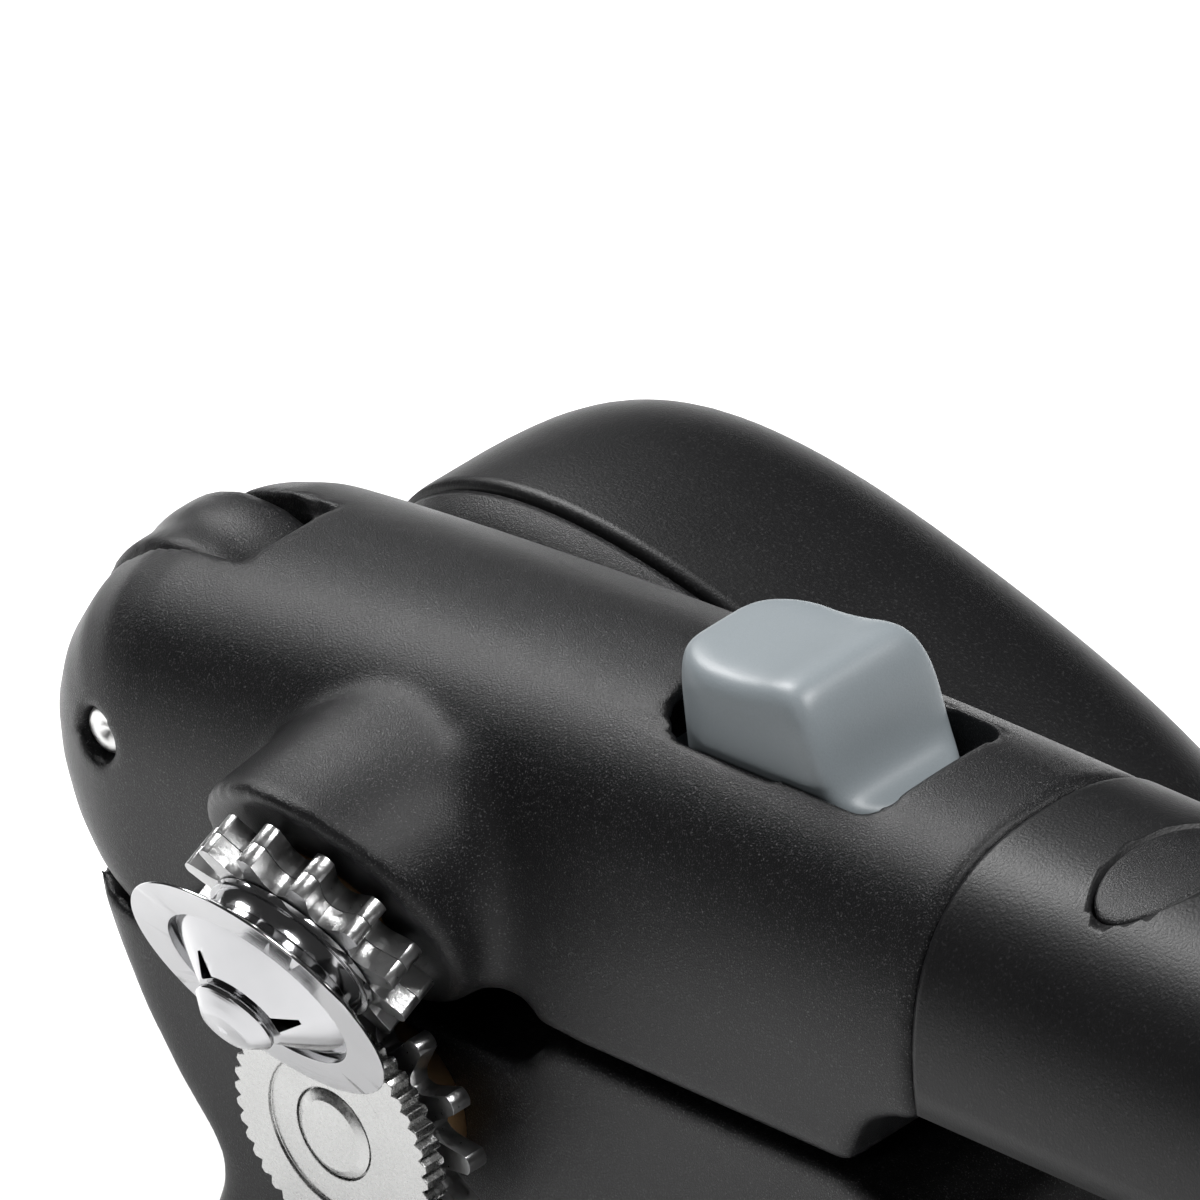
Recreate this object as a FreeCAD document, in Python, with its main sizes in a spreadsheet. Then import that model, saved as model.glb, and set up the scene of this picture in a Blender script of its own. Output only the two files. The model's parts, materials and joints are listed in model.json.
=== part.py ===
import FreeCAD, Part
import math
import os
import re
import Sketcher

# Hand-cranked side-cut can opener.  Two moulded handles are hinged at a pin near the nose.  A knob turns the
# serrated feed wheel and a gear on the lower handle, and that gear drives the tilted cutting wheel that the
# upper handle carries.  A thumb button on the upper handle pulls back to unlatch the handles.
#
# Each piece is drawn about its own axis and then placed.  Positions along X and Z in the sheet are measured
# from the drive axis, and positions along Y from the front face of the feed wheel.

SIZES = {
    # Place of the drive axis in the row frame, whose origin is under the middle of the part.
    "drive_x": -61.628, "drive_y": -29.108, "drive_z": 27.0,
    # Moulded halves: width, middle plane and walls.
    "half_width": 14.8, "middle_y": 21.7, "wall": 2.5,
    "seam_upper": 10.6, "seam_lower": 9.6, "shelf_z": 6.6, "gear_bay": 13.0,
    # Hinge.
    "pin_x": -28.0, "pin_z": 18.5, "pin_radius": 1.9, "pin_play": 0.06, "pin_half": 13.4,
    "ear_radius": 9.5, "ear_half": 4.1, "slot_half": 4.45, "slot_end": -17.5,
    "lobe_radius": 13.2, "crescent_radius": 13.9,
    # Outline of the upper housing.
    "nose_x": -36.6, "nose_z": 21.0, "nose_radius": 9.99, "lobe_start": 10.0, "lobe_end": 50.0,
    "brow_radius": 23.4, "crest_radius": 500.0, "crest_front_x": -22.0, "crest_front_z": 30.6,
    "crest_rear_z": 34.6, "housing_end": 51.5, "heel_x": 44.0, "heel_radius": 6.5, "crest_fillet": 3.5,
    "cavity_front": -12.0, "cavity_rear": 48.0, "ceiling_z": 30.0,
    # Outline of the lower housing.
    "lip_x": -33.5, "lip_z": 5.7, "throat_x": -29.0, "throat_z": -4.0,
    "notch_x": -21.2, "notch_z": -13.5, "chin_x": -24.5, "chin_z": -19.5, "chin_radius": 11.3,
    "base_z": -27.0, "base_front": -14.0, "lower_heel_z": 1.0, "lower_heel_x": 53.0,
    # Handles and soft grips.
    "grip_bottom": 16.8, "grip_corner": 8.6, "handle_end": 162.0, "core_end": 142.0, "core_half": 10.0,
    "core_wall": 2.4, "grip_wall": 3.6, "grip_end_fillet": 5.0,
    "lower_grip_top": -6.8, "lower_grip_start": 60.0,
    "hang_hole": 3.5, "hang_x": 151.0,
    # Badge plate across the crown of the upper grip.
    "badge_x": 63.8, "badge_long": 13.6, "badge_wide": 7.6, "badge_thick": 1.0, "badge_gap": 0.1,
    # Cutting wheel and its axis, which leans out at the top.
    "tilt": 24.5, "cutter_y": -5.08, "cutter_z": 14.6,
    "disc_radius": 10.86, "disc_edge": 0.18, "disc_recess": 7.65, "disc_recess_depth": 0.9,
    "hub_radius": 6.3, "hub_start": 2.35, "hub_flange": 6.75, "hub_flange_start": 3.6, "disc_depth": 4.2,
    "cutter_shaft": 2.5, "dome_radius": 3.25, "dome_front": -3.9, "dome_rim": -2.7,
    "star_outer": 7.3, "star_inner": 2.9, "star_sheet": 0.35, "star_rise": 1.9, "star_tip": 5.0,
    # Gears.
    "plate": 1.65, "cutter_gear_start": 4.3, "cutter_tip": 9.85, "cutter_root": 6.5, "cutter_teeth": 12,
    "drive_tip": 11.2, "drive_root": 7.3, "drive_teeth": 14, "drive_gear_start": 2.8,
    "tooth_foot": 1.75, "tooth_half": 0.72, "tooth_round": 0.95, "tooth_shoulder": 0.75,
    # Cutter boss, bush, plate and clip, along the cutter axis.
    "boss_start": 8.2, "boss_rim": 11.3, "boss_mid": 12.2, "boss_end": 17.0,
    "bush_outer": 4.6, "bush_play": 0.05, "clip_outer": 4.6, "clip_thick": 0.8,
    "cutter_plate_half": 10.8, "plate_waist": 2.8, "plate_belly": 5.0, "plate_thick": 1.5,
    "washer_thick": 1.2, "stack_gap": 0.1,
    "cutter_room": 5.6, "cutter_screw": 8.2,
    # Feed wheel and drive shaft, along the drive axis.
    "feed_radius": 9.4, "feed_thick": 1.8, "feed_step": 6.1, "feed_step_depth": 0.25, "feed_bore": 3.6,
    "feed_teeth": 44, "feed_notch": 0.5, "feed_notch_half": 0.62,
    "drive_shaft": 3.0, "drive_head": 3.45, "drive_head_thick": 0.55,
    "spacer_radius": 5.2, "drive_boss": 6.5, "drive_bush_outer": 5.0, "drive_bush_flange": 6.4,
    "drive_bush_start": 5.0, "near_boss_end": 14.5, "far_boss_start": 29.0, "far_bush_face": 38.1,
    "clip_groove": 38.3, "clip_groove_long": 0.9, "groove_deep": 0.6,
    # Turning knob.
    "knob_start": 39.6, "knob_seam": 45.6, "knob_end": 67.8, "knob_half_long": 40.0, "knob_half_high": 19.5,
    "knob_flat": 34.5, "knob_corner": 10.5, "knob_inset": 1.2, "knob_wall": 2.8, "knob_hub": 7.0,
    "knob_hub_end": 60.0, "knob_turn": 16.0, "knob_fillet": 6.5, "knob_cap": 8.0, "shaft_end": 56.0,
    "knob_screw": 1.5, "knob_screw_head": 3.2,
    # Release button and latch.
    "button_slot_x": 30.7, "button_slot_long": 21.4, "button_slot_wide": 13.5, "button_long": 16.4,
    "button_wide": 12.9, "button_corner": 3.8, "slot_corner": 4.0, "button_front_gap": 0.5,
    "button_top": 40.5, "button_front_z": 38.6, "button_dish_z": 37.9, "button_rear_z": 36.4,
    "slider_long": 21.0, "slider_half": 8.5, "slider_top": 29.7, "slider_thick": 2.6,
    "catch_x": 24.0, "catch_thick": 1.6, "catch_half": 4.0, "catch_top": 24.5, "catch_lip": 1.8,
    "hook_gap": 1.1,
    "spring_wire": 0.35, "spring_coil": 2.4, "spring_turns": 6,
    "opening_coil": 3.0, "opening_wire": 0.45, "opening_turns": 7, "opening_x": -3.0, "opening_y": 28.0,
    "opening_top": 24.5,
    # Screws.
    "screw_radius": 1.3, "screw_head": 2.5, "screw_head_thick": 1.6, "screw_long": 7.0,
    "base_screw_front": -6.0, "base_screw_side": -9.4, "base_screw_rear": 34.0, "cover_thick": 2.8,
}

doc = FreeCAD.newDocument("can_opener")
sheet = doc.addObject("Spreadsheet::Sheet", "Sheet")
for row, (alias, size) in enumerate(SIZES.items(), start=1):
    sheet.set("A%d" % row, alias)
    sheet.set("B%d" % row, repr(size))
    sheet.setAlias("B%d" % row, alias)
gauge = doc.addObject("App::FeaturePython", "Gauge")
gauge.addProperty("App::PropertyFloat", "Reading")
doc.recompute()

WORD = re.compile(r"[a-z][a-z_0-9]*")
PIECES = []


def linked(text):
    """The expression with each size pointing at its cell in the sheet."""
    def cell(word):
        return "Sheet." + word.group() if word.group() in SIZES else word.group()
    return WORD.sub(cell, str(text))


def number(text):
    """The value of an expression, read off the gauge object that it is bound to."""
    gauge.setExpression("Reading", linked(text))
    gauge.recompute()
    return float(gauge.Reading)


def bind(thing, prop, text):
    thing.setExpression(prop, linked(text))


def new_body(label):
    body = doc.addObject("PartDesign::Body", label)
    body.Label = label
    PIECES.append(body)
    return body


def new_sketch(body, role, rise="0", along="0", turn=None):
    """A sketch on one of the body's own planes.  rise lifts it off the plane, along shifts it up the plane,
    and turn, in degrees, turns it clockwise on the plane."""
    sketch = body.newObject("Sketcher::SketchObject", body.Label + "_sketch")
    plane = [feature for feature in body.Origin.OriginFeatures if feature.Role == role][0]
    sketch.AttachmentSupport = [(plane, "")]
    sketch.MapMode = "FlatFace"
    if turn is not None:
        clockwise = FreeCAD.Rotation(FreeCAD.Vector(0, 0, -1), number(turn))
        sketch.AttachmentOffset = FreeCAD.Placement(FreeCAD.Vector(), clockwise)
        bind(sketch, "AttachmentOffset.Rotation.Angle", turn)
    bind(sketch, "AttachmentOffset.Base.y", along)
    bind(sketch, "AttachmentOffset.Base.z", rise)
    return sketch


def hold(sketch, kind, target, text):
    """A dimension on the sketch that follows the sheet."""
    index = sketch.addConstraint(Sketcher.Constraint(kind, *target, number(text)))
    bind(sketch, "Constraints[%d]" % index, text)


def arc_middle(start, end, radius):
    """The middle of an arc between two points of an outline, outside the chord if the radius is positive."""
    chord = end - start
    half = chord.Length / 2
    rise = abs(radius) - math.sqrt(max(radius * radius - half * half, 0))
    outward = FreeCAD.Vector(chord.y, -chord.x, 0).normalize()
    return (start + end) * 0.5 + outward * (rise if radius > 0 else -rise)


def outline(sketch, points):
    """A closed anticlockwise outline.  A third entry makes the edge to the next point an arc of that radius,
    bulging outwards, or inwards if it is negative."""
    corners = [FreeCAD.Vector(number(point[0]), number(point[1]), 0) for point in points]
    first = sketch.GeometryCount
    ends = []
    for i, point in enumerate(points):
        start = corners[i]
        end = corners[(i + 1) % len(points)]
        if len(point) == 3:
            radius = number(point[2])
            index = sketch.addGeometry(Part.Arc(start, arc_middle(start, end, radius), end))
            hold(sketch, "Radius", (index,), "abs(%s)" % point[2])
            ends.append((1, 2) if radius > 0 else (2, 1))
        else:
            sketch.addGeometry(Part.LineSegment(start, end))
            ends.append((1, 2))
    for i, point in enumerate(points):
        after = (i + 1) % len(points)
        joint = Sketcher.Constraint("Coincident", first + i, ends[i][1], first + after, ends[after][0])
        sketch.addConstraint(joint)
        hold(sketch, "DistanceX", (-1, 1, first + i, ends[i][0]), point[0])
        hold(sketch, "DistanceY", (-1, 1, first + i, ends[i][0]), point[1])


def rounded_box(sketch, low, high, side, bend):
    """A rectangle from low to high along the sketch's X, side to either side of it, with round corners."""
    outline(sketch, [
        ("%s + %s" % (low, bend), "-" + side), ("%s - %s" % (high, bend), "-" + side, bend),
        (high, "-%s + %s" % (side, bend)), (high, "%s - %s" % (side, bend), bend),
        ("%s - %s" % (high, bend), side), ("%s + %s" % (low, bend), side, bend),
        (low, "%s - %s" % (side, bend)), (low, "-%s + %s" % (side, bend), bend)])


def circle(sketch, x, y, radius):
    centre = FreeCAD.Vector(number(x), number(y), 0)
    index = sketch.addGeometry(Part.Circle(centre, FreeCAD.Vector(0, 0, 1), number(radius)))
    hold(sketch, "Radius", (index,), radius)
    hold(sketch, "DistanceX", (-1, 1, index, 3), x)
    hold(sketch, "DistanceY", (-1, 1, index, 3), y)


def feature(body, kind, sketch, **properties):
    """A PartDesign feature made from a sketch, checked to have changed the body's volume."""
    before = body.Shape.Volume if body.Tip else 0.0
    made = body.newObject("PartDesign::" + kind, body.Label + "_" + kind.lower())
    if sketch is not None:
        made.Profile = sketch
    for name, value in properties.items():
        if name in ("Length", "Radius", "Angle", "Pitch", "Height", "Turns"):
            bind(made, name, value)
        else:
            setattr(made, name, value)
    doc.recompute()
    if abs(body.Shape.Volume - before) < 0.001:
        raise RuntimeError("%s of %s changed nothing" % (made.Name, body.Label))
    if not body.Shape.isValid():
        raise RuntimeError("%s of %s is not a valid solid" % (made.Label, body.Label))
    return made


def pad(body, sketch, length, **more):
    return feature(body, "Pad", sketch, Length=length, **more)


def pocket(body, sketch, length, **more):
    return feature(body, "Pocket", sketch, Length=length, **more)


def revolve(body, sketch):
    return feature(body, "Revolution", sketch, ReferenceAxis=(sketch, ["V_Axis"]), Angle="360")


def groove(body, sketch):
    return feature(body, "Groove", sketch, ReferenceAxis=(sketch, ["V_Axis"]), Angle="360")


def repeat_round(body, made, count):
    """The feature repeated evenly about the body's own Z axis."""
    pattern = body.newObject("PartDesign::PolarPattern", body.Label + "_pattern")
    pattern.Originals = [made]
    axis = [feature for feature in body.Origin.OriginFeatures if feature.Role == "Z_Axis"][0]
    pattern.Axis = (axis, [""])
    pattern.Angle = 360
    bind(pattern, "Occurrences", count)
    body.Tip = pattern
    doc.recompute()


def fillet(body, radius, test):
    """Rounds the edges whose middle passes the test."""
    base = body.Tip
    names = []
    for i, edge in enumerate(base.Shape.Edges, start=1):
        middle = edge.valueAt((edge.FirstParameter + edge.LastParameter) / 2)
        if test(edge, middle):
            names.append("Edge%d" % i)
    made = body.newObject("PartDesign::Fillet", body.Label + "_fillet")
    made.Base = (base, names)
    bind(made, "Radius", radius)
    doc.recompute()
    if not names or "Invalid" in made.State or not body.Shape.isValid():
        raise RuntimeError("fillet of %s failed on %d edges" % (body.Label, len(names)))
    return made


def place(body, turn="0", x="0", y="0", z="0"):
    """Puts a piece at x, y, z from the drive centre, its own Z axis tipped so many degrees towards +Y."""
    tip = FreeCAD.Rotation(FreeCAD.Vector(-1, 0, 0), max(number(turn), 0.001))
    body.Placement = FreeCAD.Placement(FreeCAD.Vector(), tip if number(turn) else FreeCAD.Rotation())
    if number(turn):
        bind(body, "Placement.Rotation.Angle", turn)
    bind(body, "Placement.Base.x", "drive_x + %s" % x)
    bind(body, "Placement.Base.y", "drive_y + %s" % y)
    bind(body, "Placement.Base.z", "drive_z + %s" % z)


def place_on_drive(body, along="0"):
    """Own Z axis along the drive axis, pointing at the knob."""
    place(body, "90", y=along)


def place_on_cutter(body, along="0"):
    """Own Z axis along the cutter axis, own zero so far behind the front face of the cutting wheel."""
    place(body, "90 - tilt", y="cutter_y + (%s) * cos(tilt)" % along, z="cutter_z + (%s) * sin(tilt)" % along)


def place_on_middle(body):
    """Own XZ plane on the middle plane between the two side walls."""
    place(body, y="middle_y")


def turned(label, points):
    """A piece of revolution from an outline of radius against height along its own Z axis."""
    body = new_body(label)
    sketch = new_sketch(body, "XZ_Plane")
    outline(sketch, points)
    revolve(body, sketch)
    return body


def tube(label, outer, inner, length):
    return turned(label, [(inner, "0"), (outer, "0"), (outer, length), (inner, length)])


# ---------------------------------------------------------------- cutting wheel assembly

def cutter_wheel():
    """Hardened cutting wheel: flat mirror front with a shallow recess, sharp rim, coned back, turned hub."""
    body = turned("cutter_wheel", [
        ("cutter_shaft", "disc_recess_depth"), ("disc_recess", "disc_recess_depth"), ("disc_recess", "0"),
        ("disc_radius", "0"), ("disc_radius", "disc_edge"), ("hub_radius", "hub_start"),
        ("hub_radius", "hub_flange_start"), ("hub_flange", "hub_flange_start"), ("hub_flange", "disc_depth"),
        ("cutter_shaft", "disc_depth")])
    place_on_cutter(body)


def star_spring():
    """Dished spring disc in the recess, with three windows round the rivet that make a star."""
    body = turned("star_spring", [
        ("star_inner", "-star_rise"), ("star_inner + 0.6", "-star_rise"),
        ("star_outer", "disc_recess_depth - star_sheet"),
        ("star_outer", "disc_recess_depth"), ("star_outer - 0.5", "disc_recess_depth"),
        ("star_inner", "-star_rise + star_sheet")])
    window = new_sketch(body, "XY_Plane", rise="-5")
    outline(window, [("star_inner + 0.3", "-0.9"), ("star_tip", "-0.25"), ("star_tip", "0.25"),
                     ("star_inner + 0.3", "0.9")])
    cut = pocket(body, window, "8", Reversed=True)
    repeat_round(body, cut, "3")
    place_on_cutter(body)


def cutter_shaft():
    """Rivet-headed shaft of the cutting wheel, with a groove for its clip."""
    body = turned("cutter_shaft", [
        ("0", "dome_front"), ("dome_radius - 1.2", "dome_front + 0.2"), ("dome_radius", "dome_rim"),
        ("dome_radius", "dome_rim + 0.3"), ("star_inner", "dome_rim + 0.75"),
        ("cutter_shaft", "disc_recess_depth"),
        ("cutter_shaft", "boss_end + 2.9"), ("cutter_shaft - 0.6", "boss_end + 2.9"),
        ("cutter_shaft - 0.6", "boss_end + 3.8"), ("cutter_shaft", "boss_end + 3.8"),
        ("cutter_shaft", "boss_end + 4.9"), ("0", "boss_end + 4.9")])
    place_on_cutter(body)


def stamped_gear(label, teeth, tip, root, bore):
    """A stamped gear plate with rounded teeth that flare into the root circle."""
    body = new_body(label)
    blank = new_sketch(body, "XY_Plane")
    circle(blank, "0", "0", root)
    circle(blank, "0", "0", bore)
    pad(body, blank, "plate")
    tooth = new_sketch(body, "XY_Plane")
    outline(tooth, [
        ("%s - 1" % root, "-tooth_foot"), ("%s - 0.15" % root, "-tooth_foot", "-1.6"),
        ("%s + 1.1" % root, "-tooth_half - 0.25"),
        ("%s - tooth_shoulder" % tip, "-tooth_half", "tooth_round"),
        ("%s - tooth_shoulder" % tip, "tooth_half"), ("%s + 1.1" % root, "tooth_half + 0.25", "-1.6"),
        ("%s - 0.15" % root, "tooth_foot"), ("%s - 1" % root, "tooth_foot")])
    made = pad(body, tooth, "plate")
    repeat_round(body, made, teeth)
    return body


def cutter_gears():
    """Two stamped plates, one behind the other, make the cutter's gear."""
    behind = "cutter_gear_start + plate + 0.05"
    for label, along in (("cutter_gear_front", "cutter_gear_start"), ("cutter_gear_rear", behind)):
        body = stamped_gear(label, "cutter_teeth", "cutter_tip", "cutter_root", "cutter_shaft")
        place_on_cutter(body, along)


def cutter_fixings():
    """Sintered bush in the boss, steel plate and washer behind it, and the clip on the shaft's end."""
    body = tube("cutter_bush", "bush_outer", "cutter_shaft + bush_play", "boss_end - boss_start")
    place_on_cutter(body, "boss_start")
    plate = new_body("cutter_plate")
    sketch = new_sketch(plate, "XY_Plane")
    outline(sketch, [
        ("-cutter_plate_half", "-plate_waist"), ("-plate_belly + 1.6", "-plate_belly"),
        ("plate_belly - 1.6", "-plate_belly"), ("cutter_plate_half", "-plate_waist"),
        ("cutter_plate_half", "plate_waist"), ("plate_belly - 1.6", "plate_belly"),
        ("-plate_belly + 1.6", "plate_belly"), ("-cutter_plate_half", "plate_waist")])
    circle(sketch, "0", "0", "cutter_shaft + bush_play")
    for side in ("-cutter_screw", "cutter_screw"):
        circle(sketch, side, "0", "screw_radius")
    pad(plate, sketch, "plate_thick")
    place_on_cutter(plate, "boss_end")
    washer = tube("cutter_washer", "clip_outer", "cutter_shaft + bush_play", "washer_thick")
    place_on_cutter(washer, "boss_end + plate_thick + stack_gap")
    clip = new_body("cutter_clip")
    ring = new_sketch(clip, "XY_Plane")
    outline(ring, [("-clip_outer", "-1"), ("clip_outer", "-1"), ("clip_outer", "1.4", "clip_outer * 1.1"),
                   ("-clip_outer", "1.4")])
    circle(ring, "0", "0.3", "0.6")
    pad(clip, ring, "clip_thick")
    bore = new_sketch(clip, "XY_Plane")
    circle(bore, "0", "0", "cutter_shaft - 0.6")
    pocket(clip, bore, "clip_thick", Reversed=True)
    place_on_cutter(clip, "boss_end + plate_thick + washer_thick + stack_gap * 2.5")


# ---------------------------------------------------------------- drive assembly

def feed_wheel():
    """Serrated wheel that grips the can's rim, with a stepped face and a counterbore for the rivet head."""
    body = turned("feed_wheel", [
        ("drive_shaft", "drive_head_thick + 0.25"), ("feed_bore", "drive_head_thick + 0.25"),
        ("feed_bore", "feed_step_depth"), ("feed_step", "feed_step_depth"), ("feed_step", "0"),
        ("feed_radius", "0"), ("feed_radius", "feed_thick"), ("drive_shaft", "feed_thick")])
    notch = new_sketch(body, "XY_Plane")
    outline(notch, [("feed_radius - feed_notch", "0"), ("feed_radius + 0.2", "-feed_notch_half"),
                    ("feed_radius + 0.2", "feed_notch_half")])
    cut = pocket(body, notch, "feed_thick", Reversed=True)
    repeat_round(body, cut, "feed_teeth")
    place_on_drive(body)


def drive_gear():
    """Stamped gear behind the feed wheel."""
    body = stamped_gear("drive_gear", "drive_teeth", "drive_tip", "drive_root", "drive_shaft")
    place_on_drive(body, "drive_gear_start")


def drive_shaft():
    """Steel shaft riveted over the feed wheel, with a clip groove and a screw hole in its far end."""
    body = turned("drive_shaft", [
        ("0", "-0.05"), ("drive_head - 0.7", "-0.05"), ("drive_head", "0.3"),
        ("drive_head", "drive_head_thick + 0.25"), ("drive_shaft", "drive_head_thick + 0.25"),
        ("drive_shaft", "clip_groove"), ("drive_shaft - groove_deep", "clip_groove"),
        ("drive_shaft - groove_deep", "clip_groove + clip_groove_long"),
        ("drive_shaft", "clip_groove + clip_groove_long"),
        ("drive_shaft", "shaft_end"), ("knob_screw", "shaft_end"),
        ("knob_screw", "shaft_end - 10"), ("0", "shaft_end - 10")])
    place_on_drive(body)


def drive_fixings():
    """Spacer between wheel and gear, two bushes, and the retaining clip outside the far bush."""
    spacer = tube("feed_spacer", "spacer_radius", "drive_shaft", "drive_gear_start - feed_thick")
    place_on_drive(spacer, "feed_thick")
    near = turned("drive_bush_near", [
        ("drive_shaft + bush_play", "0"), ("drive_bush_flange", "0"),
        ("drive_bush_flange", "middle_y - half_width - drive_bush_start"),
        ("drive_bush_outer", "middle_y - half_width - drive_bush_start"),
        ("drive_bush_outer", "near_boss_end - drive_bush_start"),
        ("drive_shaft + bush_play", "near_boss_end - drive_bush_start")])
    place_on_drive(near, "drive_bush_start")
    far = turned("drive_bush_far", [
        ("drive_shaft + bush_play", "0"), ("drive_bush_outer", "0"),
        ("drive_bush_outer", "middle_y + half_width - far_boss_start"),
        ("drive_bush_flange", "middle_y + half_width - far_boss_start"),
        ("drive_bush_flange", "far_bush_face - far_boss_start"),
        ("drive_shaft + bush_play", "far_bush_face - far_boss_start")])
    place_on_drive(far, "far_boss_start")
    clip = tube("drive_clip", "clip_outer + 0.4", "drive_shaft - groove_deep + 0.05",
                "clip_groove_long - 0.15")
    place_on_drive(clip, "clip_groove + 0.1")


# ---------------------------------------------------------------- turning knob

def knob_outline(sketch, inset):
    """Rounded lens: two long flat arcs joined by two small round ends."""
    flat = "(knob_flat - (%s) * 0.9)" % inset
    corner = "(knob_corner - (%s) * 0.7)" % inset
    side = "(%s ^ 2 + (knob_half_high - knob_corner) ^ 2) / (2 * (knob_half_high - knob_corner))" % flat
    tip = "(%s ^ 2 + (knob_half_long - knob_flat) ^ 2) / (2 * (knob_half_long - knob_flat))" % corner
    outline(sketch, [(flat, "-" + corner, tip), (flat, corner, side),
                     ("-" + flat, corner, tip), ("-" + flat, "-" + corner, side)])


def place_knob(body, along):
    """On the drive axis, with the knob's long way turned up at the nose end."""
    place_on_drive(body, along)
    tip_up = FreeCAD.Rotation(FreeCAD.Vector(0, 0, 1), number("knob_turn"))
    body.setExpression("Placement.Rotation.Angle", None)
    body.Placement = FreeCAD.Placement(body.Placement.Base, body.Placement.Rotation.multiply(tip_up))


def knob_core():
    """Hard moulded back of the knob with the hub that takes the shaft."""
    body = new_body("knob_core")
    base = new_sketch(body, "XY_Plane")
    knob_outline(base, "knob_inset")
    pad(body, base, "knob_seam - knob_start")
    hub = new_sketch(body, "XY_Plane")
    circle(hub, "0", "0", "knob_hub")
    pad(body, hub, "knob_hub_end - knob_start")
    hollow = new_sketch(body, "XY_Plane", rise="2.5")
    knob_outline(hollow, "knob_inset + 2.4")
    circle(hollow, "0", "0", "knob_hub")
    pocket(body, hollow, "knob_seam - knob_start", Reversed=True)
    bore = new_sketch(body, "XY_Plane")
    circle(bore, "0", "0", "drive_shaft")
    pocket(body, bore, "shaft_end - knob_start", Reversed=True)
    screw = new_sketch(body, "XY_Plane")
    circle(screw, "0", "0", "knob_screw")
    pocket(body, screw, "knob_hub_end - knob_start", Reversed=True)
    place_knob(body, "knob_start")


def knob_shell():
    """Soft moulded shell over the hard core, hollow inside, with a round opening for the cap."""
    body = new_body("knob_shell")
    outer = new_sketch(body, "XY_Plane")
    knob_outline(outer, "0")
    pad(body, outer, "knob_end - knob_seam")
    deep = number("knob_end - knob_seam")
    fillet(body, "knob_fillet", lambda edge, middle: middle.z > deep - 0.01)
    inner = new_sketch(body, "XY_Plane")
    knob_outline(inner, "knob_wall + knob_inset")
    pocket(body, inner, "knob_end - knob_seam - knob_wall", Reversed=True)
    opening = new_sketch(body, "XY_Plane")
    circle(opening, "0", "0", "knob_cap")
    pocket(body, opening, "knob_end - knob_seam", Reversed=True)
    place_knob(body, "knob_seam")


def knob_fixings():
    """Screw that holds the knob on the shaft, and the cap that hides it."""
    screw = turned("knob_screw", [
        ("0", "shaft_end - 8"), ("knob_screw", "shaft_end - 8"), ("knob_screw", "knob_hub_end"),
        ("knob_screw_head", "knob_hub_end"), ("knob_screw_head", "knob_hub_end + 1.8"),
        ("0", "knob_hub_end + 1.8")])
    place_on_drive(screw)
    cap = turned("knob_cap", [
        ("0", "knob_end - 2"), ("knob_cap - 2", "knob_end - 2"), ("knob_cap - 2", "knob_hub_end + 0.1"),
        ("knob_cap - 0.4", "knob_hub_end + 0.1"), ("knob_cap - 0.4", "knob_end - 1"),
        ("knob_cap - 1.4", "knob_end"), ("0", "knob_end")])
    place_on_drive(cap)


# ---------------------------------------------------------------- upper handle

def side_edges(edge, middle):
    """Edges that lie in either side face of a housing."""
    half = number("half_width")
    ends = [vertex.Point.y for vertex in edge.Vertexes]
    return abs(abs(middle.y) - half) < 0.01 and all(abs(abs(y) - half) < 0.01 for y in ends)


def across_cutter(sketch, along):
    """Turns a sketch of a housing square to the cutter axis, so far behind the cutting wheel's face."""
    lean = FreeCAD.Rotation(FreeCAD.Vector(-1, 0, 0), number("90 - tilt"))
    sketch.AttachmentOffset = FreeCAD.Placement(FreeCAD.Vector(), lean)
    bind(sketch, "AttachmentOffset.Rotation.Angle", "90 - tilt")
    bind(sketch, "AttachmentOffset.Base.y", "cutter_y - middle_y + %s * cos(tilt)" % along)
    bind(sketch, "AttachmentOffset.Base.z", "cutter_z + %s * sin(tilt)" % along)


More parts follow.
